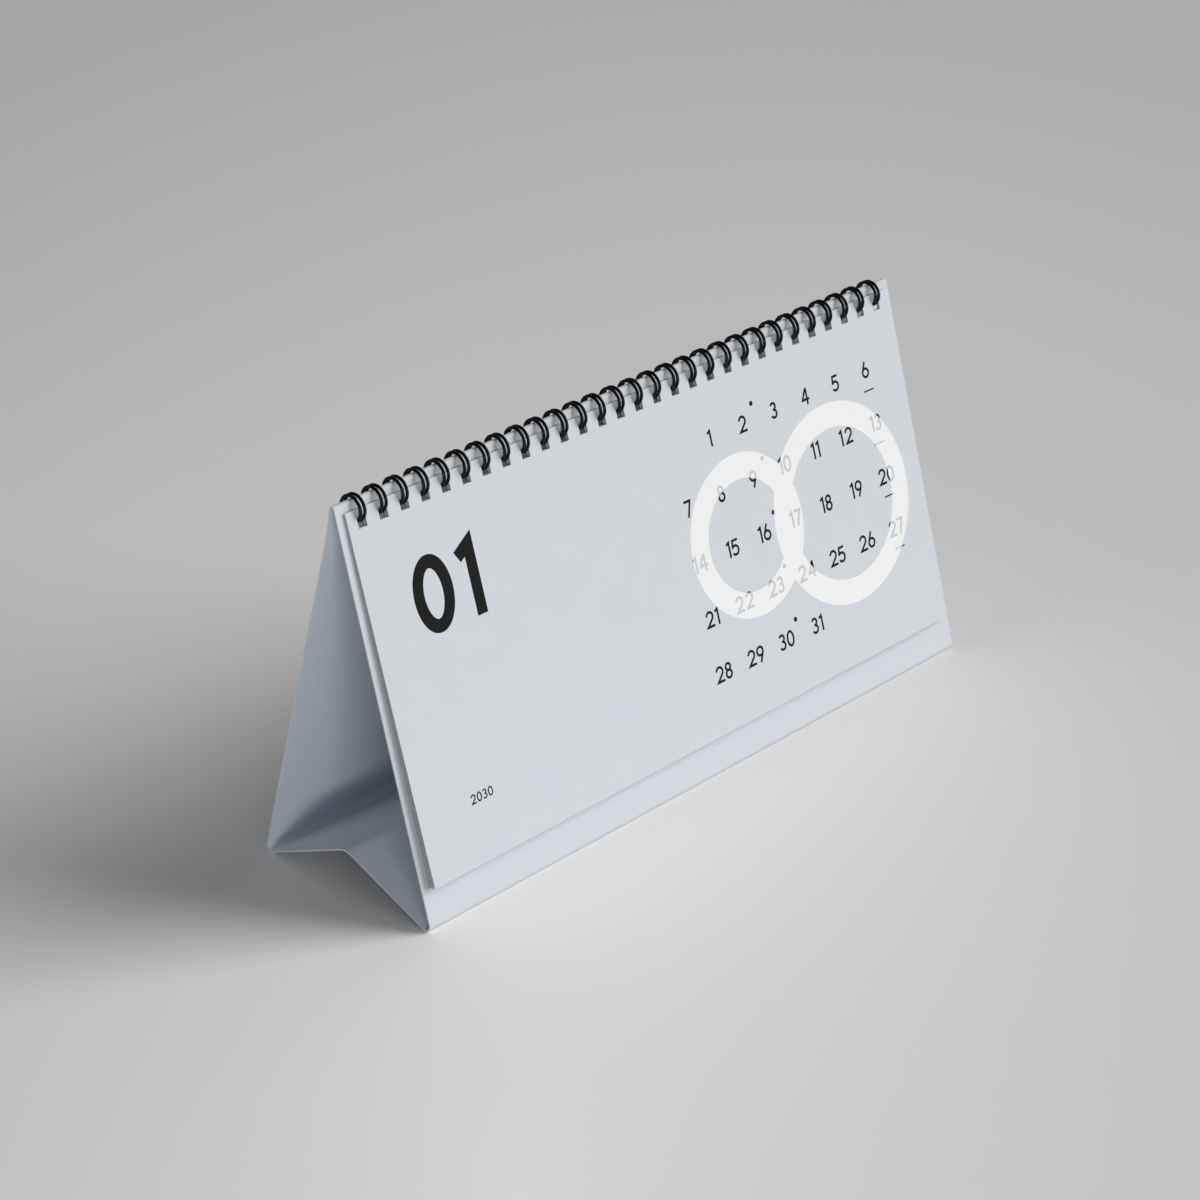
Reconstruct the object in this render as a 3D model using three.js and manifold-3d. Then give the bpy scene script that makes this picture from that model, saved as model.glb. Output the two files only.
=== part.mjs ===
// A tent-shaped desk calendar: a stand folded from one strip of card, a pad of printed leaves on the
// front, and a twin-loop wire that goes round the ridge through a row of square holes.
// Sizes are in millimetres. X runs along the ridge, the pad faces -Y and +Z is up. The origin is on the
// surface that the stand rests on, under the middle of the ridge.
import * as THREE from 'three'
import { mergeVertices } from 'three/addons/utils/BufferGeometryUtils.js'
import Module from 'manifold-3d'

const degrees = Math.PI / 180

// the folded card stand
const card_width = 254
const card_thickness = 0.45
const panel_slope_length = 135.2 // from the sharp corner at the ridge to the sharp corner at the foot
const tent_half_angle = 15.9 * degrees // each panel leans this far from upright
const crease_height = 15.8 // the sharp crease of the base, above the sharp corners at the feet
const foot_fold_radius = 2.1 // outside radius of the two folds that the stand rests on
const foot_flat_half_angle = 12 * degrees // the worn flat along the bottom of each foot fold
const crease_bend_radius = 6 // inside radius of the soft bend along the crease of the base
const ridge_fold_radius = 1
const ridge_centre_below_corner = 1.95 // the middle of the ridge fold, under the sharp corner of the ridge
const rear_bow_radius = 130 // the rear panel bows outwards near the ridge, because the card springs open
const fold_facets = 5
const crease_strip_width = 5.4 // on each side of the crease, where the card bends when the stand closes
const seam_gap = 0.05 // between two stretches of card that turn against each other
const flap_height = 17
const flap_end_clearance = 6
const glue_line = 0.05

// the punched holes, the same in the stand and in every leaf
const hole_pitch = 8.4667 // three to the inch
const hole_count = 29
const hole_size = 3.4
const hole_line = 7.95 // from the sharp corner of the ridge down the slope to the middle of the holes

// the pad
const leaf_count = 6
const leaf_width = 248.1
const leaf_height = 116.1
const leaf_thickness = 0.09
const leaf_gap = 0.03
const leaf_top_margin = 3.9 // from the sharp corner of the ridge down to the top edge of the leaves
const first_leaf_gap = 0.05
const leaf_fan_angle = 0.153 * degrees // each leaf stands off the one behind it by this much more
const punched_margin_height = 6.75
const margin_fold_gap = 0.05

// the twin-loop wire
const wire_diameter = 1.1
const loop_radius = 4.1 // to the middle of the wire
const loop_centre_below_ridge = 4.3 // under the sharp corner of the ridge
const loop_centre_behind_ridge = 0.7
const loop_pair_spacing = 1.6
const loop_root_angle = 186 * degrees // from the top, forwards and down
const loop_tip_angle = 512 * degrees
const loop_steps = 12
const tip_steps = 4
const root_bend_radius = 0.8
const root_bend_steps = 2
const wire_sides = 5

// sizes worked out from those above
const tent_depth = panel_slope_length * Math.sin(tent_half_angle) // half of it, sharp corner to middle
const sharp_height = panel_slope_length * Math.cos(tent_half_angle)
const base_slope = Math.atan2(crease_height, tent_depth)
const base_length = Math.hypot(tent_depth, crease_height)
const foot_angle = Math.PI / 2 - tent_half_angle - base_slope
const foot_centre_distance = foot_fold_radius / Math.sin(foot_angle / 2)
const foot_bisector = base_slope + foot_angle / 2
const foot_centre_height = foot_fold_radius * Math.cos(foot_flat_half_angle)
const sharp_foot_height = foot_centre_height - foot_centre_distance * Math.sin(foot_bisector)
const apex_height = sharp_foot_height + sharp_height
const foot_centre_depth = tent_depth - foot_centre_distance * Math.cos(foot_bisector)
const ridge_centre_height = apex_height - ridge_centre_below_corner
const ridge_centre_depth = (ridge_fold_radius - ridge_centre_below_corner * Math.sin(tent_half_angle)) /
  Math.cos(tent_half_angle)
const leaf_pitch = leaf_thickness + leaf_gap

const card = { color: 0xd2d7db, roughness: 0.82, metalness: 0 }
const paper = { color: 0xd4d9dd, roughness: 0.78, metalness: 0 }
const steel = { color: 0x0b0b0c, roughness: 0.25, metalness: 0.3 }

const wasm = await Module()
wasm.setup()

const calendar = new THREE.Group()

function add(name, geometry, finish, parent = calendar) {
  const mesh = new THREE.Mesh(geometry, new THREE.MeshStandardMaterial(finish))
  mesh.name = name
  parent.add(mesh)
  return mesh
}

// a solid for joining and cutting, from a closed geometry
function solid_of(geometry) {
  const bare = geometry.clone()
  bare.deleteAttribute('normal')
  bare.deleteAttribute('uv')
  const merged = mergeVertices(bare, 1e-5)
  return new wasm.Manifold(new wasm.Mesh({
    numProp: 3,
    vertProperties: new Float32Array(merged.attributes.position.array),
    triVerts: new Uint32Array(merged.index.array)
  }))
}

function geometry_of(solid) {
  const mesh = solid.getMesh()
  const geometry = new THREE.BufferGeometry()
  geometry.setAttribute('position', new THREE.BufferAttribute(mesh.vertProperties, 3))
  geometry.setIndex(new THREE.BufferAttribute(mesh.triVerts, 1))
  return geometry
}

// a section drawn in the plane across the ridge, [y, z], carried along the whole width of the card
function card_strip(section) {
  const outline = new THREE.Shape(section.map(([y, z]) => new THREE.Vector2(y, z)))
  const geometry = new THREE.ExtrudeGeometry(outline, { depth: card_width, bevelEnabled: false })
  const across = new THREE.Matrix4().makeBasis(
    new THREE.Vector3(0, 1, 0), new THREE.Vector3(0, 0, 1), new THREE.Vector3(1, 0, 0))
  geometry.applyMatrix4(across)
  return geometry.translate(-card_width / 2, 0, 0)
}

// points on an arc about [y, z]; angles are measured from +Y towards +Z
function arc([y, z], radius, from, to, steps = fold_facets) {
  return Array.from({ length: steps + 1 }, (_, i) => {
    const angle = from + (to - from) * i / steps
    return [y + radius * Math.cos(angle), z + radius * Math.sin(angle)]
  })
}

// The fold at the front foot turns from the front panel, over the flat that rests on the surface, to
// the front base panel. Its angles are those of the outward normals of the card.
const foot_panel_normal = Math.PI - tent_half_angle
const foot_base_normal = 1.5 * Math.PI + base_slope
const foot_down = 1.5 * Math.PI

function foot_arc(radius) {
  const centre = [-foot_centre_depth, foot_centre_height]
  return [
    ...arc(centre, radius, foot_panel_normal, foot_down - foot_flat_half_angle),
    ...arc(centre, radius, foot_down + foot_flat_half_angle, foot_base_normal, 1)
  ]
}

const mirrored = (section) => section.map(([y, z]) => [-y, z]).reverse()

// The ridge fold touches the line of the front panel, so its middle is a little behind the ridge's corner.
const ridge_centre = [ridge_centre_depth, ridge_centre_height]
const front_normal = Math.PI - tent_half_angle
const inner_ridge_radius = ridge_fold_radius - card_thickness

// The bow of the rear panel leaves the ridge fold and runs out into the flat of the panel. The middle of
// its arc is behind the panel, and its angles are those of the card's normal, turned to point that way.
const ridge_stand_off = ridge_centre_depth * Math.cos(tent_half_angle) -
  ridge_centre_below_corner * Math.sin(tent_half_angle)
const bow_turn = Math.acos((rear_bow_radius - ridge_stand_off) / (rear_bow_radius + ridge_fold_radius))
const bow_top_normal = tent_half_angle - bow_turn
const bow_centre = [
  ridge_centre_depth + (rear_bow_radius + ridge_fold_radius) * Math.cos(bow_top_normal),
  ridge_centre_height + (rear_bow_radius + ridge_fold_radius) * Math.sin(bow_top_normal)
]
const ridge_seam_angle = bow_top_normal + seam_gap / ridge_fold_radius

function rear_bow(lift) {
  return arc(bow_centre, rear_bow_radius + lift, Math.PI + bow_top_normal, Math.PI + tent_half_angle)
}

// the section of a panel with its foot fold: out along the outside and back along the inside
const front_panel_section = [
  ...arc(ridge_centre, ridge_fold_radius, ridge_seam_angle, front_normal),
  ...foot_arc(foot_fold_radius),
  ...foot_arc(foot_fold_radius - card_thickness).reverse(),
  ...arc(ridge_centre, inner_ridge_radius, front_normal, ridge_seam_angle)
]

const rear_panel_section = [
  ...rear_bow(card_thickness),
  ...mirrored(foot_arc(foot_fold_radius - card_thickness).reverse()),
  ...mirrored(foot_arc(foot_fold_radius)),
  ...rear_bow(0).reverse()
]

// the square holes are punched square to the panel, so each cutter is a bar along its normal
function punch(geometry, side) {
  const bar = new THREE.BoxGeometry(hole_size, hole_size, 10 * card_thickness)
  const lean = side * (Math.PI / 2 - tent_half_angle)
  let solid = solid_of(geometry)
  for (const x of hole_places()) {
    const cutter = bar.clone().rotateX(lean)
    const down = hole_line * Math.cos(tent_half_angle)
    const out = hole_line * Math.sin(tent_half_angle)
    cutter.translate(x, -side * out, apex_height - down)
    solid = solid.subtract(solid_of(cutter))
  }
  return geometry_of(solid)
}

function hole_places() {
  return Array.from({ length: hole_count }, (_, i) => (i - (hole_count - 1) / 2) * hole_pitch)
}

add('front_panel', punch(card_strip(front_panel_section), 1), card)
add('rear_panel', punch(card_strip(rear_panel_section), -1), card)

// Each base panel rises from its foot fold and stops short of the crease.
function base_panel_section() {
  const along = [Math.cos(base_slope), Math.sin(base_slope)]
  const normal = [-Math.sin(base_slope), Math.cos(base_slope)]
  const start_distance = foot_centre_distance * Math.cos(foot_angle / 2) + seam_gap
  const end_distance = base_length - crease_strip_width - seam_gap
  const at = (distance, lift) => [
    -tent_depth + along[0] * distance + normal[0] * lift,
    sharp_foot_height + along[1] * distance + normal[1] * lift
  ]
  return [at(start_distance, 0), at(end_distance, 0),
    at(end_distance, card_thickness), at(start_distance, card_thickness)]
}

add('front_base_panel', card_strip(base_panel_section()), card)
add('rear_base_panel', card_strip(mirrored(base_panel_section())), card)

// The crease where the two base panels meet, with the strip of card on each side of it.
const crease_z = sharp_foot_height + crease_height
const strip_run = crease_strip_width * Math.cos(base_slope)
const strip_drop = crease_strip_width * Math.sin(base_slope)
const strip_lift = card_thickness * Math.cos(base_slope)
const strip_lean = card_thickness * Math.sin(base_slope)
const crease_bend_centre = [0, crease_z - crease_bend_radius / Math.cos(base_slope)]
const crease_left_normal = Math.PI / 2 + base_slope
const crease_right_normal = Math.PI / 2 - base_slope

add('base_crease', card_strip([
  [-strip_run, crease_z - strip_drop],
  ...arc(crease_bend_centre, crease_bend_radius, crease_left_normal, crease_right_normal),
  [strip_run, crease_z - strip_drop],
  [strip_run + strip_lean, crease_z - strip_drop + strip_lift],
  ...arc(crease_bend_centre, crease_bend_radius + card_thickness, crease_right_normal, crease_left_normal),
  [-strip_run - strip_lean, crease_z - strip_drop + strip_lift]
]), card)

// The front slope: its own Y runs up the panel from the sharp corner of the ridge, and its Z points out.
const front_slope = new THREE.Group()
front_slope.position.set(0, 0, apex_height)
front_slope.rotation.x = Math.PI / 2 - tent_half_angle
calendar.add(front_slope)

// The end of the card strip is turned up inside the front panel and glued there.
const flap_width = card_width - 2 * flap_end_clearance
const foot_tangent = foot_centre_distance * Math.cos(foot_angle / 2)
const glue_flap = add('glue_flap', new THREE.BoxGeometry(flap_width, flap_height, card_thickness), card,
  front_slope)
glue_flap.position.set(0, -panel_slope_length + foot_tangent + seam_gap + flap_height / 2,
  -card_thickness - glue_line - card_thickness / 2)

// A stretch of a leaf between two distances below its top edge, with the holes that fall in it.
function leaf_geometry(top, bottom) {
  const stretch = new THREE.BoxGeometry(leaf_width, bottom - top, leaf_thickness)
  stretch.translate(0, -(top + bottom) / 2, leaf_thickness / 2)
  const hole_middle = hole_line - leaf_top_margin
  if (hole_middle < top || hole_middle > bottom) return stretch
  let solid = solid_of(stretch)
  for (const x of hole_places()) {
    const cutter = new THREE.BoxGeometry(hole_size, hole_size, 10 * leaf_thickness)
    solid = solid.subtract(solid_of(cutter.translate(x, -hole_middle, 0)))
  }
  return geometry_of(solid)
}

// Leaf 1 is the front one. Each leaf hangs from its punched edge and stands off a little at its foot.
for (let number = leaf_count; number >= 1; number--) {
  const layer = leaf_count - number
  const hanging = new THREE.Group()
  hanging.position.set(0, -leaf_top_margin, first_leaf_gap + layer * leaf_pitch)
  hanging.rotation.x = -(layer + 1) * leaf_fan_angle
  front_slope.add(hanging)
  if (number > 1) {
    add(`leaf_${number}`, leaf_geometry(0, leaf_height), paper, hanging)
  } else {
    add('leaf_1', leaf_geometry(punched_margin_height + margin_fold_gap, leaf_height), paper, hanging)
    add('leaf_1_punched_margin', leaf_geometry(0, punched_margin_height), paper, hanging)
  }
}

// The wire is one length of steel. From a root link it runs backwards, up over the ridge and down in
// front, through the front holes to a round tip, and back beside itself to the next root link.
// A place on it is [x, angle], with the angle turned about the loop centre from the top to the front.
function wire_point(x, angle) {
  return new THREE.Vector3(
    x,
    loop_centre_behind_ridge - loop_radius * Math.sin(angle),
    apex_height - loop_centre_below_ridge + loop_radius * Math.cos(angle)
  )
}

function wire_route() {
  const places = []
  const half = loop_pair_spacing / 2
  const tip_turn = half / loop_radius
  const bend_turn = root_bend_radius / loop_radius
  for (const [index, x] of hole_places().entries()) {
    // the left wire of the pair, from the root to the tip
    for (let i = 0; i < loop_steps; i++) {
      places.push([x - half, loop_root_angle + (loop_tip_angle - loop_root_angle) * i / loop_steps])
    }
    // half a turn round the tip
    for (let i = 0; i <= tip_steps; i++) {
      const turn = Math.PI * i / tip_steps
      places.push([x - half * Math.cos(turn), loop_tip_angle + tip_turn * Math.sin(turn)])
    }
    // the right wire of the pair, back to the root
    for (let i = loop_steps - 1; i >= 0; i--) {
      places.push([x + half, loop_root_angle + (loop_tip_angle - loop_root_angle) * i / loop_steps])
    }
    // a quarter turn out of the root, and another into the next pair
    if (index < hole_count - 1) {
      const next = x + hole_pitch
      for (let i = 1; i <= root_bend_steps; i++) {
        const turn = Math.PI / 2 * i / root_bend_steps
        places.push([x + half + root_bend_radius * (1 - Math.cos(turn)),
          loop_root_angle - bend_turn * Math.sin(turn)])
      }
      for (let i = root_bend_steps; i >= 1; i--) {
        const turn = Math.PI / 2 * i / root_bend_steps
        places.push([next - half - root_bend_radius * (1 - Math.cos(turn)),
          loop_root_angle - bend_turn * Math.sin(turn)])
      }
    }
  }
  return places.map(([x, angle]) => wire_point(x, angle))
}

// a round wire along a route, with a flat at each end; its sides are carried along without twisting
function wire_geometry(route) {
  const count = route.length
  const tangents = route.map((_, i) => new THREE.Vector3()
    .subVectors(route[Math.min(i + 1, count - 1)], route[Math.max(i - 1, 0)]).normalize())
  const side = new THREE.Vector3(1, 0, 0)
  const vertices = []
  for (let i = 0; i < count; i++) {
    side.addScaledVector(tangents[i], -side.dot(tangents[i])).normalize()
    const across = new THREE.Vector3().crossVectors(tangents[i], side)
    for (let j = 0; j < wire_sides; j++) {
      const turn = 2 * Math.PI * j / wire_sides
      const corner = route[i].clone()
        .addScaledVector(side, wire_diameter / 2 * Math.cos(turn))
        .addScaledVector(across, wire_diameter / 2 * Math.sin(turn))
      vertices.push(corner.x, corner.y, corner.z)
    }
  }
  const faces = []
  for (let i = 0; i + 1 < count; i++) {
    for (let j = 0; j < wire_sides; j++) {
      const a = i * wire_sides + j
      const b = i * wire_sides + (j + 1) % wire_sides
      faces.push(a, b, b + wire_sides, a, b + wire_sides, a + wire_sides)
    }
  }
  const last = (count - 1) * wire_sides
  for (let j = 1; j + 1 < wire_sides; j++) {
    faces.push(0, j + 1, j)
    faces.push(last, last + j, last + j + 1)
  }
  const geometry = new THREE.BufferGeometry()
  geometry.setAttribute('position', new THREE.Float32BufferAttribute(vertices, 3))
  geometry.setIndex(faces)
  return geometry
}

const route = wire_route()
add('binding_wire', wire_geometry(route), steel)

// the least clear gap between two stretches of the wire that lie more than a few points apart
let least_gap = Infinity
for (let i = 0; i < route.length; i++) {
  for (let j = i + 7; j < Math.min(i + 60, route.length); j++) {
    least_gap = Math.min(least_gap, route[i].distanceTo(route[j]) - wire_diameter)
  }
}
console.log(`least gap between turns of the wire: ${least_gap.toFixed(2)} mm`)

export default calendar
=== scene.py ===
# A tent-shaped desk calendar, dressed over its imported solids: the folded card stand, the pad of printed
# leaves and the twin-loop wire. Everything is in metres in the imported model's own frame: X along the
# ridge, the pad on the -Y side, Z up.
import calendar

import bpy
import numpy as np
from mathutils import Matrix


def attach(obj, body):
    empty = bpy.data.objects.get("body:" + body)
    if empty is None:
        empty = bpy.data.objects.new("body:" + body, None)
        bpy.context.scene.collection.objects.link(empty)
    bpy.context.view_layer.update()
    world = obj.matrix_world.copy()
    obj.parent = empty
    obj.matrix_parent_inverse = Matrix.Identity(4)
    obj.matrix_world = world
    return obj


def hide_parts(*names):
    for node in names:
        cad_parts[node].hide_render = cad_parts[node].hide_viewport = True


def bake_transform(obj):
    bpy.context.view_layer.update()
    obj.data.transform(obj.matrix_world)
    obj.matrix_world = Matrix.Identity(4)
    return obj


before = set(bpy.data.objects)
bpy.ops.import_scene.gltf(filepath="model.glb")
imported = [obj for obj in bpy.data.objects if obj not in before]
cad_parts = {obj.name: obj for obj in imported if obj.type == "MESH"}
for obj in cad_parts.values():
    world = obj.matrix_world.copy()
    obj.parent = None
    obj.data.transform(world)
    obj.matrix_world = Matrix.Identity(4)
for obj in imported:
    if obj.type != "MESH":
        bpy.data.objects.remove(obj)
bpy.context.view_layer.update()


# THE FOLDED CARD STAND
# One strip of solid-dyed card, scored and folded into a closed tent. The two panels lean together at the
# ridge, the feet are soft folds that lie on the table, and the base rises to a soft crease in the
# middle, which keeps the panels apart. A row of square holes is punched under the ridge on both sides.

mm = 0.001
card_width = 254 * mm
card_thickness = 0.45 * mm
panel_slope = 135.2 * mm
panel_lean = np.radians(15.9)
crease_rise = 15.8 * mm
foot_radius = 2.1 * mm
foot_worn_angle = np.radians(12)
crease_bend = 6 * mm
ridge_radius = 1 * mm
ridge_drop = 1.95 * mm
bow_radius = 130 * mm
foot_clearance = 0.3 * mm
panel_steps = 24
base_steps = 8
fold_steps = 20
bend_steps = 8
sharp_edge = np.radians(40)

half_depth = panel_slope * np.sin(panel_lean)
base_slope = np.arctan2(crease_rise, half_depth)
foot_angle = np.pi / 2 - panel_lean - base_slope
foot_reach = foot_radius / np.sin(foot_angle / 2)
foot_centre_z = foot_radius * np.cos(foot_worn_angle)
sharp_foot_z = foot_centre_z - foot_reach * np.sin(base_slope + foot_angle / 2)
foot_centre_y = half_depth - foot_reach * np.cos(base_slope + foot_angle / 2)
apex_z = sharp_foot_z + panel_slope * np.cos(panel_lean)
ridge_centre_y = (ridge_radius - ridge_drop * np.sin(panel_lean)) / np.cos(panel_lean)
ridge_centre_z = apex_z - ridge_drop

hole_pitch = 8.4667 * mm
hole_count = 29
hole_size = 3.4 * mm
hole_line = 7.95 * mm
hole_x = (np.arange(hole_count) - (hole_count - 1) / 2) * hole_pitch


def linear(hex_colour):
    """An sRGB hex colour as linear red, green, blue and alpha: each channel is its value over 255, a
    straight line up to 0.04045 and the 2.4th power of (value + 0.055) / 1.055 above it."""
    value = np.array([int(hex_colour[i:i + 2], 16) for i in (1, 3, 5)]) / 255
    light = np.where(value <= 0.04045, value / 12.92, ((value + 0.055) / 1.055) ** 2.4)
    return (*light.tolist(), 1.0)


def node(material, kind, links=(), **settings):
    """Adds one node. A link is (output socket, input name or number); a setting is an input's value
    where the name is an input of the node, and otherwise the node's own property."""
    made = material.node_tree.nodes.new(kind)
    for name, value in settings.items():
        socket = name.replace("_", " ").title().replace("Ior", "IOR")
        if socket in made.inputs:
            made.inputs[socket].default_value = value
        else:
            setattr(made, name, value)
    for output, target in links:
        material.node_tree.links.new(output, made.inputs[target])
    return made


def new_material(name):
    """A material without any node yet."""
    material = bpy.data.materials.new(name)
    material.use_nodes = True
    material.node_tree.nodes.clear()
    return material


def dyed_card(name, face_colour, fibre_size, fibre_depth):
    """Uncoated solid-dyed card, calendered smooth. The eye sees an even matt colour with a slight cloud
    of denser and thinner pulp some millimetres across, and under raking light the felt of its fibres. The
    colours are given by the caller, and the inner side, the cut edges and the leaves' edges have light or
    shade painted into theirs."""
    material = new_material(name)
    place = node(material, "ShaderNodeTexCoord").outputs["Object"]
    pulp = node(material, "ShaderNodeTexNoise", [(place, "Vector")], scale=1 / (9 * mm), detail=3.0)
    shade = node(material, "ShaderNodeMix", [(pulp.outputs[0], "Factor")], data_type="RGBA")
    shade.inputs[6].default_value = linear(face_colour[0])
    shade.inputs[7].default_value = linear(face_colour[1])
    fibre = node(material, "ShaderNodeTexNoise", [(place, "Vector")], scale=1 / fibre_size, detail=4.0,
                 roughness=0.6)
    relief = node(material, "ShaderNodeBump", [(fibre.outputs[0], "Height")], strength=0.35,
                  distance=fibre_depth)
    paint = node(material, "ShaderNodeBsdfPrincipled",
                 [(shade.outputs[2], "Base Color"), (relief.outputs[0], "Normal")],
                 roughness=0.78, ior=1.45, specular_ior_level=0.35)
    node(material, "ShaderNodeOutputMaterial", [(paint.outputs[0], "Surface")])
    return material


card_face = dyed_card("dyed card, smooth side", ("#d1d6dc", "#d3d8dd"), 0.35 * mm, 0.02 * mm)
# Painted fill light: the card's inner side is painted much paler and bluer than its face, so the shaded
# inside of the tent reads lighter and bluer than the lamps alone make it.
card_inside_painted_fill = dyed_card("dyed card, inner side with painted fill light", ("#e9f1f9", "#ebf3fb"), 0.35 * mm, 0.03 * mm)
# Painted highlight: the cut edges are painted near-white, far paler than the dyed card, so they show as
# bright lines.
card_edge_painted_highlight = dyed_card("guillotined card edge, painted highlight", ("#f8fbfd", "#fafcfe"), 0.12 * mm, 0.03 * mm)
card_sides = [card_face, card_inside_painted_fill, card_edge_painted_highlight]


def arc(centre_y, centre_z, radius, start, stop, steps):
    """Points on a circle in the section plane: the centre plus the radius along the cosine and sine of
    each angle, measured from +Y towards +Z."""
    angle = np.linspace(start, stop, steps + 1)
    return np.stack([centre_y + radius * np.cos(angle), centre_z + radius * np.sin(angle)], axis=1)


def mesh_piece(name, points, faces, materials, kind=None, sharp=sharp_edge):
    """A mesh object from an array of points and one of faces; points that no face uses are dropped.
    kind holds the number of each face's material, where there is more than one. Edges that turn by
    more than the sharp angle are drawn as corners."""
    used, place = np.unique(faces, return_inverse=True)
    faces = place.reshape(faces.shape)
    mesh = bpy.data.meshes.new(name)
    mesh.from_pydata(points[used].tolist(), [], faces.tolist())
    for material in materials:
        mesh.materials.append(material)
    if kind is not None:
        mesh.polygons.foreach_set("material_index", kind.astype(np.int32))
    mesh.shade_smooth()
    mesh.set_sharp_from_angle(angle=sharp)
    piece = bpy.data.objects.new(name, mesh)
    bpy.context.collection.objects.link(piece)
    return piece


def punched_sheet(name, outer, inner, stations, holes, materials):
    """A sheet of card or paper with square holes.

    outer and inner are the section's points [y, z] on the two faces, row by row, and stations are places
    along X: point (i, j) of a face is (station j, section point i). A cell is left out where its row and
    its column both fall in a hole, and a wall closes each cell edge that belongs to one cell alone.
    holes is (a flag for each row of cells, a flag for each column of cells), and materials are those of
    the outer face, the inner face and the cut edges."""
    rows, columns = len(outer), len(stations)

    def face_points(section):
        across = np.broadcast_to(stations, (rows, columns))
        along = np.broadcast_to(section[:, None, :], (rows, columns, 2))
        return np.concatenate([across[..., None], along], axis=2).reshape(-1, 3)

    points = np.concatenate([face_points(outer), face_points(inner)])
    top = np.arange(rows * columns).reshape(rows, columns)
    kept = ~np.outer(holes[0], holes[1])
    a, b, c, d = top[:-1, :-1], top[:-1, 1:], top[1:, 1:], top[1:, :-1]
    shown = np.stack([a, d, c, b], axis=-1)[kept]
    hidden = np.stack([a, b, c, d], axis=-1)[kept] + rows * columns
    padded = np.pad(kept, 1)
    above, below = padded[:-1, 1:-1], padded[1:, 1:-1]
    left, right = padded[1:-1, :-1], padded[1:-1, 1:]
    walls = []
    for first, last, one, other in ((top[:, :-1], top[:, 1:], above, below),
                                    (top[1:, :], top[:-1, :], left, right)):
        for flag, p, q in ((other & ~one, first, last), (one & ~other, last, first)):
            walls.append(np.stack([p[flag], q[flag], q[flag] + rows * columns,
                                   p[flag] + rows * columns], axis=-1))
    walls = np.concatenate(walls)
    kind = np.repeat([0, 1, 2], [len(shown), len(hidden), len(walls)])
    return mesh_piece(name, points, np.concatenate([shown, hidden, walls]), materials, kind)


# The section of the front half of the strip: from the ridge down the panel, round the foot and up the
# base to the middle of the crease. The rear half is the same but for the top of its panel.
ridge_lap = 0.4 * mm
down_slope = np.array([-np.sin(panel_lean), -np.cos(panel_lean)])
panel_normal = np.array([-np.cos(panel_lean), np.sin(panel_lean)])
to_rear = np.array([-1, 1])
foot_distance = panel_slope - foot_reach * np.cos(foot_angle / 2)
normal_at_panel = np.pi - panel_lean
normal_at_base = 1.5 * np.pi + base_slope
ridge_turn_start = np.array([ridge_centre_y, ridge_centre_z - apex_z]) + ridge_radius * panel_normal


def panel_places(start):
    """Distances down a panel from the sharp corner of the ridge: its top edge at the fold, the two edges
    of the holes and even steps on to the foot."""
    return np.concatenate([[start + ridge_lap, hole_line - hole_size / 2],
                           np.linspace(hole_line + hole_size / 2, foot_distance - foot_clearance,
                                       panel_steps + 1)])


panel_outer = (np.array([0, apex_z])
               + panel_places(ridge_turn_start @ down_slope)[:, None] * down_slope)
panel_inner = panel_outer - card_thickness * panel_normal
foot_outer = arc(-foot_centre_y, foot_centre_z, foot_radius, normal_at_panel, normal_at_base,
                 fold_steps)
foot_inner = arc(-foot_centre_y, foot_centre_z, foot_radius - card_thickness, normal_at_panel,
                 normal_at_base, fold_steps)
foot_outer[:, 1] = np.maximum(foot_outer[:, 1], 0)
along_base = np.array([np.cos(base_slope), np.sin(base_slope)])
base_normal = np.array([np.sin(base_slope), -np.cos(base_slope)])
base_length = np.hypot(half_depth, crease_rise)
up_base = np.linspace(panel_slope - foot_distance + foot_clearance,
                      base_length - crease_bend * np.tan(base_slope), base_steps + 1)
base_outer = np.array([-half_depth, sharp_foot_z]) + up_base[:, None] * along_base
base_inner = base_outer - card_thickness * base_normal
bend_z = sharp_foot_z + crease_rise - crease_bend / np.cos(base_slope)
bend_outer = arc(0, bend_z, crease_bend, np.pi / 2 + base_slope, np.pi / 2, bend_steps)[1:]
bend_inner = arc(0, bend_z, crease_bend + card_thickness, np.pi / 2 + base_slope, np.pi / 2,
                 bend_steps)[1:]

# The rear panel bows out near the ridge, where the card springs back from its fold. The bow is an arc
# about a centre behind the panel, which touches both the ridge fold and the flat of the panel.
stand_off = ridge_centre_y * np.cos(panel_lean) - ridge_drop * np.sin(panel_lean)
bow_turn = np.arccos((bow_radius - stand_off) / (bow_radius + ridge_radius))
bow_top = panel_lean - bow_turn
bow_centre = (np.array([ridge_centre_y, ridge_centre_z])
              + (bow_radius + ridge_radius) * np.array([np.cos(bow_top), np.sin(bow_top)]))
rear_down = down_slope * to_rear
bow_end = (bow_centre - [0, apex_z]) @ rear_down


def rear_panel_section(distance, depth):
    """The rear panel at distances down the slope. The card's normal there is turned from that of the
    flat by the arcsine of (the bow's end - distance) / the bow's radius, and by nothing below the bow.
    A point is the bow's centre less its radius and the depth in the card along the normal, moved down
    the slope by what the distance has over the bow's end."""
    turn = panel_lean - np.arcsin(np.clip((bow_end - distance) / bow_radius, 0, 1))
    normal = np.stack([np.cos(turn), np.sin(turn)], axis=1)
    beyond = np.maximum(distance - bow_end, 0)
    return bow_centre - (bow_radius + depth) * normal + beyond[:, None] * rear_down


rear_start = bow_end - bow_radius * np.sin(bow_turn)
rear_places = panel_places(rear_start)
half_outer = np.concatenate([panel_outer, foot_outer, base_outer, bend_outer])
half_inner = np.concatenate([panel_inner, foot_inner, base_inner, bend_inner])
rear_outer = np.concatenate([rear_panel_section(rear_places, 0), half_outer[len(panel_outer):] * to_rear])
rear_inner = np.concatenate([rear_panel_section(rear_places, card_thickness),
                             half_inner[len(panel_outer):] * to_rear])

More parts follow.
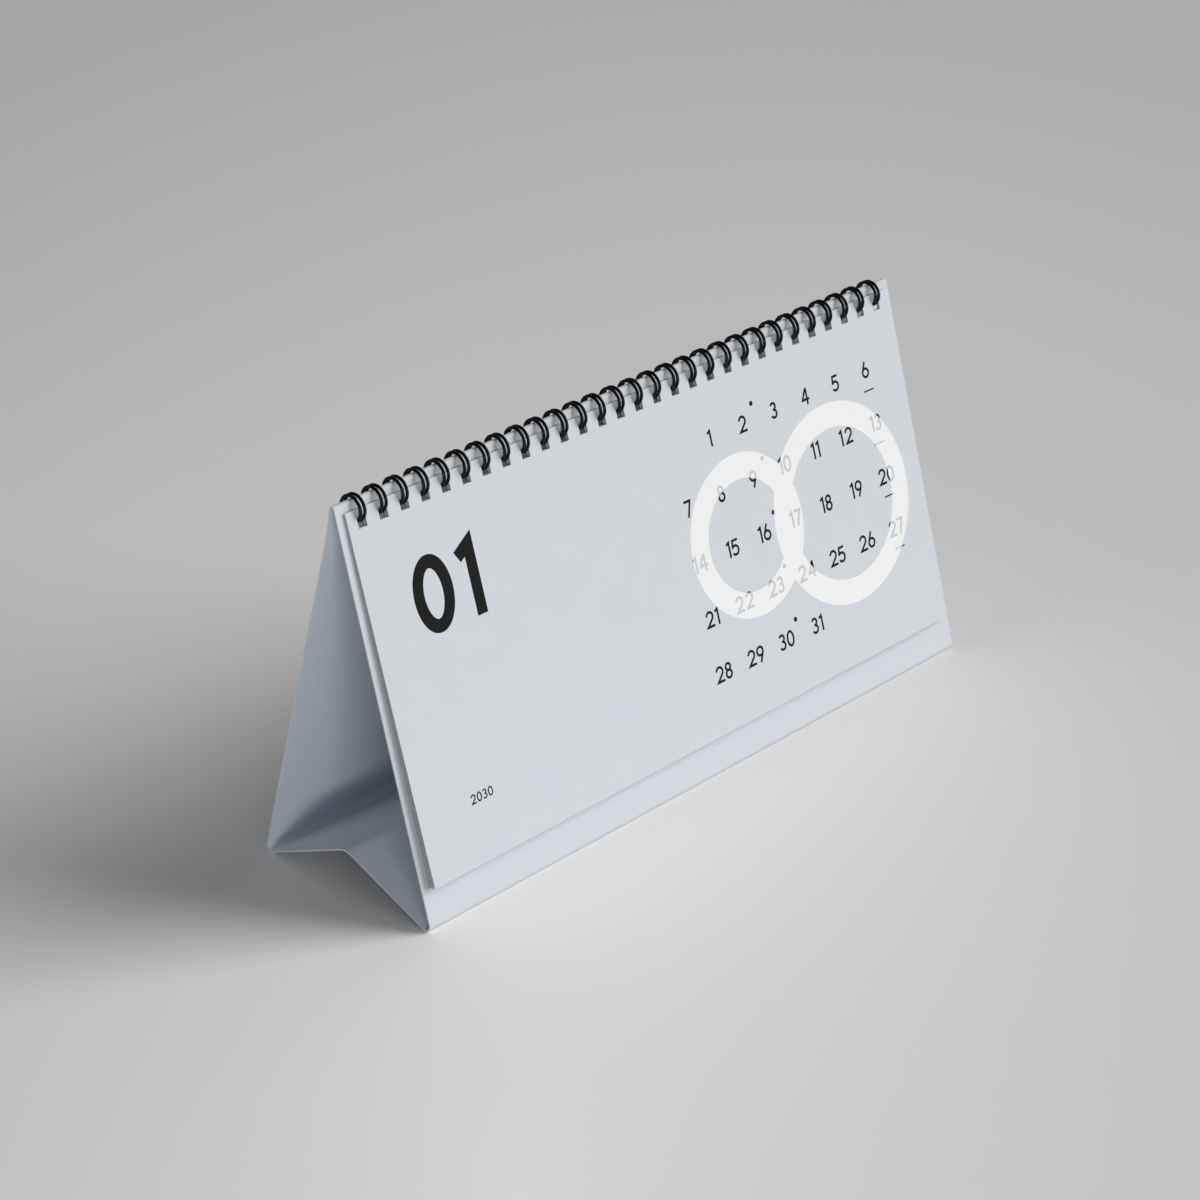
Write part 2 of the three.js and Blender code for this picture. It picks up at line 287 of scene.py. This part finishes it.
card_stations = np.sort(np.concatenate([
    [-card_width / 2, card_width / 2], hole_x - hole_size / 2, hole_x + hole_size / 2]))
card_columns = np.arange(len(card_stations) - 1) % 2 == 1
card_rows = np.arange(len(half_outer) - 1) == 1

front_card = punched_sheet("front_card", half_outer, half_inner, card_stations,
                           (card_rows, card_columns), card_sides)
rear_card = punched_sheet("rear_card", rear_outer, rear_inner, card_stations[::-1],
                          (card_rows, card_columns[::-1]), card_sides)
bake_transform(front_card)
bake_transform(rear_card)
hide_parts("front_panel", "front_base_panel", "base_crease")
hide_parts("rear_panel", "rear_base_panel")

# The fold at the ridge is scored and pressed, to a radius of one millimetre on its outside.
ridge_turn = arc(ridge_centre_y, ridge_centre_z, ridge_radius, normal_at_panel, bow_top, fold_steps)
ridge_inside = arc(ridge_centre_y, ridge_centre_z, ridge_radius - card_thickness, normal_at_panel,
                   bow_top, fold_steps)
ridge_outer = np.concatenate([panel_outer[:1], ridge_turn, rear_outer[:1]])
ridge_inner = np.concatenate([panel_inner[:1], ridge_inside, rear_inner[:1]])
no_holes = (np.zeros(len(ridge_outer) - 1, bool), np.zeros(len(card_stations) - 1, bool))
ridge_fold = punched_sheet("ridge_fold", ridge_outer, ridge_inner, card_stations[::-1], no_holes,
                           card_sides)
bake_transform(ridge_fold)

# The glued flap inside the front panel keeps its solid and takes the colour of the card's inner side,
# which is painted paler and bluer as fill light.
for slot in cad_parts["glue_flap"].material_slots:
    slot.material = card_inside_painted_fill


# THE PAD OF LEAVES
# Six leaves of offset paper, trimmed square and punched together. They hang from the wire over the front
# panel and fan out a little towards the foot, the front ones most. Each side is printed with a month: its
# number, the year, the dates in a grid, and two white rings, on which the dates turn pale grey.

leaf_count = 6
leaf_width = 248.1 * mm
leaf_height = 116.1 * mm
leaf_thickness = 0.09 * mm
leaf_gap = 0.03 * mm
leaf_top = 3.9 * mm
leaf_steps = 8
first_gap = 0.05 * mm
fan_angle = np.radians(0.918)
ring_stroke = 8.4 * mm
rings = (((36 * mm, 62 * mm), 27 * mm), ((83 * mm, 66 * mm), 34 * mm))
first_column = 11.9 * mm
column_step = 15.82 * mm
first_row = 27.2 * mm
rows_span = 73.6 * mm
usual_weeks = 5
date_height = 5.6 * mm
date_spacing = 0.11
heading_height = 24 * mm
heading_spacing = 0.12
heading_left = -106.4 * mm
heading_base = 48.6 * mm
year = 2030
year_height = 3.1 * mm
year_spacing = 0.14
year_left = -103.2 * mm
year_base = 101.7 * mm
light_weight = 0.15
bold_weight = 0.175
bar_column = 6
bar_width = 5.1 * mm
bar_height = 0.5 * mm
bar_drop = 7 * mm
dot_column = 2
dot_radius = 0.85 * mm
dot_right = 6 * mm
dot_rise = 5.2 * mm
dot_corners = 24

# The print lies just over the paper, and each stroke of a numeral just over the stroke before it.
print_lift = 0.012 * mm
stroke_lift = 0.003 * mm


def ring_mask(material, lean, flip):
    """One where a point lies in either white ring: its distance from the ring's centre, measured on the
    leaf, differs from the ring's radius by less than half the stroke. Down the leaf is the height below
    the ridge over the cosine of the leaf's lean. flip is -1 on the leaf's back, which mirrors them."""
    place = node(material, "ShaderNodeTexCoord").outputs["Object"]
    masks = []
    for (x, t), radius in rings:
        centred = node(material, "ShaderNodeMapping", [(place, "Vector")], vector_type="POINT",
                       scale=(flip, 0, 1 / np.cos(lean)), location=(-x, 0, t - apex_z / np.cos(lean)))
        distance = node(material, "ShaderNodeVectorMath", [(centred.outputs[0], 0)], operation="LENGTH")
        off_line = node(material, "ShaderNodeMath", [(distance.outputs["Value"], 0)],
                        operation="SUBTRACT")
        off_line.inputs[1].default_value = radius - ring_stroke / 2
        size = node(material, "ShaderNodeMath", [(off_line.outputs[0], 0)], operation="ABSOLUTE")
        within = node(material, "ShaderNodeMath", [(size.outputs[0], 0)], operation="LESS_THAN")
        within.inputs[1].default_value = ring_stroke / 2
        masks.append(within.outputs[0])
    either = node(material, "ShaderNodeMath", [(masks[0], 0), (masks[1], 1)], operation="MAXIMUM")
    return either.outputs[0]


def tinted_paper(name, lean, flip):
    """Uncoated offset paper with a pale cool grey tint printed all over but for the rings, which are
    left the white of the paper. The eye sees an even matt tint, and the paper's tooth close by."""
    material = new_material(name)
    place = node(material, "ShaderNodeTexCoord").outputs["Object"]
    tint = node(material, "ShaderNodeTexNoise", [(place, "Vector")], scale=1 / (14 * mm), detail=2.0)
    ground = node(material, "ShaderNodeMix", [(tint.outputs[0], "Factor")], data_type="RGBA")
    ground.inputs[6].default_value = linear("#d0d5db")
    ground.inputs[7].default_value = linear("#d2d7dc")
    sheet = node(material, "ShaderNodeMix", [(ring_mask(material, lean, flip), "Factor"),
                                             (ground.outputs[2], 6)], data_type="RGBA")
    sheet.inputs[7].default_value = linear("#f1f1f1")
    tooth = node(material, "ShaderNodeTexNoise", [(place, "Vector")], scale=1 / (0.3 * mm), detail=3.0)
    relief = node(material, "ShaderNodeBump", [(tooth.outputs[0], "Height")], strength=0.3,
                  distance=0.012 * mm)
    paper = node(material, "ShaderNodeBsdfPrincipled",
                 [(sheet.outputs[2], "Base Color"), (relief.outputs[0], "Normal")],
                 roughness=0.72, ior=1.45, specular_ior_level=0.35)
    node(material, "ShaderNodeOutputMaterial", [(paper.outputs[0], "Surface")])
    return material


def offset_ink(name, lean, flip):
    """Black offset ink, matt and a little uneven where the paper's tooth shows through; over the white
    rings the dates are screened back to a pale grey."""
    material = new_material(name)
    place = node(material, "ShaderNodeTexCoord").outputs["Object"]
    grain = node(material, "ShaderNodeTexNoise", [(place, "Vector")], scale=1 / (0.4 * mm), detail=2.0)
    black = node(material, "ShaderNodeMix", [(grain.outputs[0], "Factor")], data_type="RGBA")
    black.inputs[6].default_value = linear("#0e0e0f")
    black.inputs[7].default_value = linear("#151516")
    screened = node(material, "ShaderNodeMix", [(ring_mask(material, lean, flip), "Factor"),
                                                (black.outputs[2], 6)], data_type="RGBA")
    screened.inputs[7].default_value = linear("#cbccce")
    ink = node(material, "ShaderNodeBsdfPrincipled", [(screened.outputs[2], "Base Color")],
               roughness=0.6, specular_ior_level=0.1)
    node(material, "ShaderNodeOutputMaterial", [(ink.outputs[0], "Surface")])
    return material


def ribbon(line, weight, closed=False):
    """A line of even weight as a strip: at each point the two sides lie along the mitre of the segments
    that meet there, (n1 + n2) / (1 + n1 . n2) times half the weight, with n1 and n2 their normals."""
    if closed:
        line = np.concatenate([line, line[:1]])
    along = np.diff(line, axis=0)
    along /= np.linalg.norm(along, axis=1, keepdims=True)
    normal = np.stack([-along[:, 1], along[:, 0]], axis=1)
    before = np.concatenate([normal[-1:] if closed else normal[:1], normal])
    after = np.concatenate([normal, normal[:1] if closed else normal[-1:]])
    mitre = (before + after) / (1 + np.sum(before * after, axis=1, keepdims=True))
    points = np.concatenate([line + mitre * weight / 2, line - mitre * weight / 2])
    a = np.arange(len(line) - 1)
    b = a + len(line)
    triangles = np.concatenate([np.stack([a, b, b + 1], axis=1), np.stack([a, b + 1, a + 1], axis=1)])
    return points, triangles


def bowl(centre_x, centre_y, radius_x, radius_y, start, stop, steps=24):
    """Points on an ellipse, at even angles in degrees from +X towards +Y."""
    angle = np.radians(np.linspace(start, stop, steps + 1))
    return np.stack([centre_x + radius_x * np.cos(angle), centre_y + radius_y * np.sin(angle)], axis=1)


def through(*places):
    """An open line through the given places."""
    return np.array(places)


def numeral_lines(weight):
    """The centre lines of the ten numerals, one unit tall: for each a list of (line, closed). They are
    drawn with compass and ruler: round bowls, straight stems, strokes of one weight with square ends. The
    stem of the six and the diagonal of the two are tangents to their bowls, and the nine is a six turned
    upside down."""
    e = weight / 2
    wide = 0.66
    mid = wide / 2
    left_of_mid = mid - 0.02
    r = mid - e
    upper = 0.235 - e / 2
    lower = 0.5 - e - upper
    stem_foot = np.arctan2(1 - e - r, 0.06) + np.arccos(r / np.hypot(1 - e - r, 0.06))
    two_turn = np.degrees(np.arctan2(2 * e + r - 1, e - mid)
                          + np.arccos(r / np.hypot(2 * e + r - 1, e - mid)))
    stem = through((mid + 0.06, 1), (mid + r * np.cos(stem_foot), e + r + r * np.sin(stem_foot)))
    six = [(bowl(mid, e + r, r, r, 0, 345), True), (stem, False)]
    return {
        "0": [(bowl(mid, 0.5, r, 0.5 - e, 0, 352, 44), True)],
        "1": [(through((0, 0.8), (0.3 - e, 1 - 0.9 * e), (0.3 - e, 0)), False)],
        "2": [(np.concatenate([bowl(mid, 1 - e - r, r, r, 172, two_turn), through((e, e), (wide, e))]),
               False)],
        "3": [(bowl(left_of_mid, 1 - e - upper, upper, upper, 158, -100), False),
              (bowl(left_of_mid, e + lower, lower, lower, 100, -158), False)],
        "4": [(through((0.5, 0), (0.5, 1)), False),
              (through((0.5 - e / 2, 1 - 0.6 * e), (1.2 * e, 0.24 + e), (0.7, 0.24 + e)), False)],
        "5": [(through((0.6, 1 - e), (0.13 + e / 2, 1 - e), (0.02 + e, 0.46)), False),
              (bowl(left_of_mid, 0.34, 0.34 - e, 0.34 - e, 146, -150), False)],
        "6": six,
        "7": [(through((0, 1 - e), (0.62 - 1.3 * e, 1 - e), (0.16 + e / 2, 0)), False)],
        "8": [(bowl(left_of_mid, 1 - e - upper, upper, upper, 0, 345), True),
              (bowl(left_of_mid, e + lower, lower, lower, 0, 345), True)],
        "9": [(through((wide, 1)) - line, closed) for line, closed in six],
    }


def numerals(weight):
    """For each numeral its points (x, y, number of the stroke), its triangles and its width."""
    shapes = {}
    for digit, lines in numeral_lines(weight).items():
        points, triangles, count = [], [], 0
        for layer, (line, closed) in enumerate(lines):
            outline, corners = ribbon(line, weight, closed)
            points.append(np.column_stack([outline, np.full(len(outline), layer)]))
            triangles.append(corners + count)
            count += len(outline)
        points = np.concatenate(points)
        points[:, 0] -= points[:, 0].min()
        shapes[digit] = points, np.concatenate(triangles), points[:, 0].max()
    return shapes


light_numerals = numerals(light_weight)
bold_numerals = numerals(bold_weight)


def number_shape(text, shapes, height, spacing):
    """The numerals of a number side by side, as points (x, y, number of the stroke) and triangles. Its
    left end and its baseline lie at zero."""
    points, triangles, pen, count = [], [], 0.0, 0
    for character in text:
        shape, corners, width = shapes[character]
        points.append((shape + [pen, 0, 0]) * [height, height, 1])
        triangles.append(corners + count)
        count += len(shape)
        pen += width + spacing
    return np.concatenate(points), np.concatenate(triangles)


def round_dot(radius):
    """A disc about zero: the radius along the cosine and sine of evenly spaced angles."""
    angle = np.arange(dot_corners) * 2 * np.pi / dot_corners
    points = radius * np.stack([np.cos(angle), np.sin(angle), np.zeros(dot_corners)], axis=1)
    second = np.arange(1, dot_corners - 1)
    return points, np.stack([np.zeros_like(second), second, second + 1], axis=1)


def bar(width, height):
    """A flat bar about zero, as two triangles."""
    corner = np.array([[-1, -1, 0], [1, -1, 0], [1, 1, 0], [-1, 1, 0]]) / 2
    return corner * [width, height, 0], np.array([[0, 1, 2], [0, 2, 3]])


def month_print(month):
    """All that is printed in black on one side of a leaf, as points (x, distance below the ridge along
    the leaf, number of the stroke) and triangles: the month's number, the year, the dates, a bar under
    each date of the last column and a dot beside those of the third. Six weeks take the room of five."""
    parts = []

    def put(shape, x, t):
        points, triangles = shape
        parts.append((points * [1, -1, 1] + [x, t, 0], triangles))

    put(number_shape(f"{month:02d}", bold_numerals, heading_height, heading_spacing), heading_left,
        heading_base)
    put(number_shape(str(year), light_numerals, year_height, year_spacing), year_left, year_base)
    weeks = calendar.monthcalendar(year, month)
    week_step = rows_span / max(usual_weeks - 1, len(weeks) - 1)
    for week, days in enumerate(weeks):
        for column, day in enumerate(days):
            if not day:
                continue
            x = first_column + column * column_step
            t = first_row + week * week_step
            date = number_shape(str(day), light_numerals, date_height, date_spacing)
            width = date[0][:, 0].max()
            put(date, x - width / 2, t + date_height / 2)
            if column == bar_column:
                put(bar(bar_width, bar_height), x, t + bar_drop)
            if column == dot_column:
                put(round_dot(dot_radius), x + dot_right, t - dot_rise)
    starts = np.cumsum([0] + [len(points) for points, _ in parts[:-1]])
    return (np.concatenate([points for points, _ in parts]),
            np.concatenate([triangles + start for (_, triangles), start in zip(parts, starts)]))


leaf_stations = np.sort(np.concatenate([
    [-leaf_width / 2, leaf_width / 2], hole_x - hole_size / 2, hole_x + hole_size / 2]))
leaf_columns = np.arange(len(leaf_stations) - 1) % 2 == 1
hole_middle = hole_line - leaf_top
down_leaf = np.concatenate([[0, hole_middle - hole_size / 2, hole_middle + hole_size / 2],
                            np.linspace(hole_middle + hole_size / 2, leaf_height, leaf_steps + 1)[1:]])
leaf_rows = np.arange(len(down_leaf) - 1) == 1
# Painted shade: the leaves' cut edges and the walls of their holes are painted a darker grey than the paper,
# so the side of the pad reads as a dark band.
leaf_edge_painted_shade = dyed_card("trimmed paper edge, painted shade", ("#b1bbc3", "#bdc5cd"), 0.08 * mm, 0.01 * mm)

# The pad is laid up from its last leaf, which lies on the card, to its first. A leaf's front holds the month
# of the leaf's number, and its back the month half a year later.
for layer in range(leaf_count):
    number = leaf_count - layer
    lean = panel_lean + fan_angle * ((layer + 1) / leaf_count) ** 2
    down = np.array([-np.sin(lean), -np.cos(lean)])
    out = np.array([-np.cos(lean), np.sin(lean)])
    hang = (np.array([0, apex_z]) + leaf_top * down_slope
            + (first_gap + layer * (leaf_thickness + leaf_gap)) * panel_normal)
    back = hang + down_leaf[:, None] * down
    front = back + leaf_thickness * out
    front_paper = tinted_paper(f"offset paper, leaf {number} front", lean, 1)
    back_paper = tinted_paper(f"offset paper, leaf {number} back", lean, -1)
    leaf = punched_sheet(f"leaf_{number}_paper", front, back, leaf_stations, (leaf_rows, leaf_columns),
                         [front_paper, back_paper, leaf_edge_painted_shade])
    body = "front_leaf" if number == 1 else "front"
    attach(leaf, body)
    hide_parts(f"leaf_{number}")
    if number == 1:
        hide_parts("leaf_1_punched_margin")
    for side, month in ((1, number), (-1, number + leaf_count)):
        points, triangles = month_print(month)
        height = print_lift + stroke_lift * points[:, 2:]
        lift = leaf_thickness + height if side == 1 else -height
        section = hang + (points[:, 1:2] - leaf_top) * down + lift * out
        placed = np.concatenate([side * points[:, :1], section], axis=1)
        side_name = "front" if side == 1 else "back"
        ink = offset_ink(f"offset ink, leaf {number} {side_name}", lean, side)
        printing = mesh_piece(f"leaf_{number}_{side_name}_print", placed, triangles, [ink])
        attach(printing, body)


# THE TWIN-LOOP WIRE
# One length of steel wire with a gloss black coat, bent into pairs of loops joined by short root links.
# Closed round the ridge, each pair passes through the holes of the leaves and of both panels, and its
# round tip comes to rest beside the root links, inside the tent.

wire_radius = 0.52 * mm
loop_radius = 4.1 * mm
loop_centre_y = 0.7 * mm
loop_centre_z = apex_z - 4.3 * mm
pair_half = 0.85 * mm
root_angle = np.radians(186)
tip_angle = np.radians(512)
root_bend = 0.8 * mm
wire_sides = 12
loop_points = 31
tip_steps = 10
root_steps = 5
wire_sharp_edge = np.radians(50)


def wire_line():
    """The middle of the wire as places (x, angle about the loop centre, turned from the top forwards).
    A pair goes from the root along the left loop, by half a turn round the tip, back along the right
    loop, and by two quarter turns through a root link into the next pair."""
    sweep = np.linspace(root_angle, tip_angle, loop_points)
    tip = np.linspace(0, np.pi, tip_steps + 1)[1:-1]
    bend = np.linspace(0, np.pi / 2, root_steps + 1)[1:]
    left = np.stack([np.full_like(sweep, -pair_half), sweep], axis=1)
    round_tip = np.stack([-pair_half * np.cos(tip), tip_angle + pair_half / loop_radius * np.sin(tip)],
                         axis=1)
    right = np.stack([np.full_like(sweep, pair_half), sweep[::-1]], axis=1)
    leave = np.stack([pair_half + root_bend * (1 - np.cos(bend)),
                      root_angle - root_bend / loop_radius * np.sin(bend)], axis=1)
    enter = np.stack([hole_pitch - leave[::-1, 0], leave[::-1, 1]], axis=1)
    pair = np.concatenate([left, round_tip, right, leave, enter])
    line = (pair[None] + np.stack([hole_x, np.zeros(hole_count)], axis=1)[:, None]).reshape(-1, 2)
    return line[:-2 * root_steps]


def wire_surface(line):
    """The wire's surface as points and faces: round each point of the line a circle of the wire's radius,
    spanned by the loop's own outward direction there and the direction square to that and to the wire.
    Each end is closed by faces that meet at the wire's middle."""
    x, angle = line.T
    outward = np.stack([np.zeros_like(x), -np.sin(angle), np.cos(angle)], axis=1)
    middle = (np.stack([x, np.full_like(x, loop_centre_y), np.full_like(x, loop_centre_z)], axis=1)
              + loop_radius * outward)
    along = np.gradient(middle, axis=0)
    along /= np.linalg.norm(along, axis=1, keepdims=True)
    aside = np.cross(along, outward)
    turn = np.arange(wire_sides) * 2 * np.pi / wire_sides
    skin = (middle[:, None] + wire_radius * (np.cos(turn)[None, :, None] * outward[:, None]
                                             + np.sin(turn)[None, :, None] * aside[:, None]))
    count = len(x)
    points = np.concatenate([skin.reshape(-1, 3), middle[:1], middle[-1:]])
    ring = np.arange(count * wire_sides).reshape(count, wire_sides)
    a, b = ring[:-1], np.roll(ring[:-1], -1, axis=1)
    c, d = np.roll(ring[1:], -1, axis=1), ring[1:]
    faces = np.stack([a, d, c, b], axis=-1).reshape(-1, 4)
    first, last = ring[0], ring[-1]
    centre = np.full(wire_sides // 2, count * wire_sides)
    start_cap = np.stack([first[::2], first[1::2], np.roll(first, -2)[::2], centre], axis=1)
    end_cap = np.stack([np.roll(last, -2)[::2], last[1::2], last[::2], centre + 1], axis=1)
    return points, np.concatenate([faces, start_cap, end_cap])


def coated_wire():
    """Steel wire under a smooth black nylon coat: deep black with a narrow bright highlight along each
    loop, broken a little by the slight waviness of the coat."""
    material = new_material("black nylon-coated wire")
    place = node(material, "ShaderNodeTexCoord").outputs["Object"]
    wave = node(material, "ShaderNodeTexNoise", [(place, "Vector")], scale=1 / (1.5 * mm), detail=2.0)
    relief = node(material, "ShaderNodeBump", [(wave.outputs[0], "Height")], strength=0.2,
                  distance=0.03 * mm)
    coat = node(material, "ShaderNodeBsdfPrincipled", [(relief.outputs[0], "Normal")],
                base_color=linear("#030303"), roughness=0.22, ior=1.45, specular_ior_level=0.25)
    node(material, "ShaderNodeOutputMaterial", [(coat.outputs[0], "Surface")])
    return material


points, faces = wire_surface(wire_line())
wire = mesh_piece("binding_wire_round", points, faces, [coated_wire()], sharp=wire_sharp_edge)
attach(wire, "wire")
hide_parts("binding_wire")


# THE STUDIO
# A seamless grey floor with a pool of light painted on it, brightest in front of the calendar. A tall soft
# box on the right reaches down to the floor, a low white board on the left shines into the tent, and the
# surround is even. The camera stands on the left and looks down.

floor_half = 4
painted_light_centre = (-0.205, -0.147, 0)
ellipse_turn = np.radians(-47.353)
ellipse_width = 0.446
falloff_power = 0.62
falloff_end = 1.12
seen_gain = 1.26


def studio_floor():
    """Matt paper sweep with a pool of light painted on it: its grey falls off with the distance from the
    painted light's centre in front of the calendar to the power 0.62, measured in ellipses that are long
    from the left front to the right rear. Where it is seen, straight or mirrored, it is 1.26 times as pale,
    and its own light on the calendar stays."""
    material = new_material("grey paper sweep, painted pool of light")
    place = node(material, "ShaderNodeTexCoord").outputs["Object"]
    turned = node(material, "ShaderNodeMapping", [(place, "Vector")], vector_type="TEXTURE",
                  location=painted_light_centre, rotation=(0, 0, ellipse_turn), scale=(ellipse_width, 1, 1))
    away = node(material, "ShaderNodeVectorMath", [(turned.outputs[0], 0)], operation="LENGTH")
    eased = node(material, "ShaderNodeMath", [(away.outputs["Value"], 0)], operation="POWER")
    eased.inputs[1].default_value = falloff_power
    share = node(material, "ShaderNodeMapRange", [(eased.outputs[0], "Value")], from_max=falloff_end)
    grey = node(material, "ShaderNodeMix", [(share.outputs[0], "Factor")], data_type="RGBA")
    # Painted pool of light: near white in front of the calendar, falling to a darker grey away from it.
    grey.inputs[6].default_value = linear("#fdfbf9")
    grey.inputs[7].default_value = linear("#cccac9")
    ray = node(material, "ShaderNodeLightPath").outputs
    seen = node(material, "ShaderNodeMath", [(ray["Is Camera Ray"], 0), (ray["Is Glossy Ray"], 1)],
                operation="MAXIMUM")
    gain = node(material, "ShaderNodeMapRange", [(seen.outputs[0], "Value")], to_min=1, to_max=seen_gain)
    pale = node(material, "ShaderNodeVectorMath", [(grey.outputs[2], 0), (gain.outputs[0], "Scale")],
                operation="SCALE")
    sweep = node(material, "ShaderNodeBsdfDiffuse", [(pale.outputs[0], "Color")])
    node(material, "ShaderNodeOutputMaterial", [(sweep.outputs[0], "Surface")])
    return material


floor_corners = floor_half * np.array([[-1, -1, 0], [1, -1, 0], [1, 1, 0], [-1, 1, 0]])
floor = mesh_piece("floor", floor_corners, np.array([[0, 1, 2, 3]]), [studio_floor()])

world = bpy.data.worlds.new("studio")
world.use_nodes = True
surround = world.node_tree.nodes["Background"]
surround.inputs["Color"].default_value = linear("#f7fafe")
surround.inputs["Strength"].default_value = 0.175
bpy.context.scene.world = world


def soft_panel(name, side, rise, distance, width, height, power):
    """A flat lamp that faces the calendar. Its direction is turned by side from the front of the pad to
    the right, and lifted by rise; its own Z is the line from the calendar to the lamp."""
    side, rise = np.radians([side, rise])
    towards = np.array([np.sin(side) * np.cos(rise), -np.cos(side) * np.cos(rise), np.sin(rise)])
    right = np.array([np.cos(side), np.sin(side), 0])
    light = bpy.data.lights.new(name, "AREA")
    light.shape = "RECTANGLE"
    light.size = width
    light.size_y = height
    light.energy = power
    lamp = bpy.data.objects.new(name, light)
    lamp.visible_camera = False
    pose = np.eye(4)
    pose[:3] = np.stack([right, np.cross(towards, right), towards, distance * towards], axis=1)
    lamp.matrix_world = pose.T.tolist()
    bpy.context.collection.objects.link(lamp)


soft_panel("soft box", side=49.6, rise=26.2, distance=9, width=5.85, height=8.6, power=798)
soft_panel("reflector board", side=-34, rise=4, distance=2.5, width=1, height=0.34, power=11)

focal_length = 98.311
azimuth, elevation, roll = np.radians([-47.353, 26.096, 0.147])
camera_distance = 1075.70 * mm
shift_right = -9.575 * mm
shift_up = 48.526 * mm
backward = np.array([np.sin(azimuth) * np.cos(elevation), -np.cos(azimuth) * np.cos(elevation),
                     np.sin(elevation)])
level_right = np.array([np.cos(azimuth), np.sin(azimuth), 0])
level_up = np.cross(backward, level_right)
right = level_right * np.cos(roll) + level_up * np.sin(roll)
up = level_up * np.cos(roll) - level_right * np.sin(roll)
view_point = right * shift_right + up * shift_up + backward * camera_distance + [0, 0, sharp_foot_z]
camera_data = bpy.data.cameras.new("camera")
camera_data.lens = focal_length
camera_data.sensor_width = 36
camera_data.clip_start = 0.05
camera = bpy.data.objects.new("camera", camera_data)
bpy.context.collection.objects.link(camera)
camera_pose = np.eye(4)
camera_pose[:3] = np.stack([right, up, backward, view_point], axis=1)
camera.matrix_world = camera_pose.T.tolist()
bpy.context.scene.camera = camera
bpy.context.scene.view_settings.view_transform = "Standard"
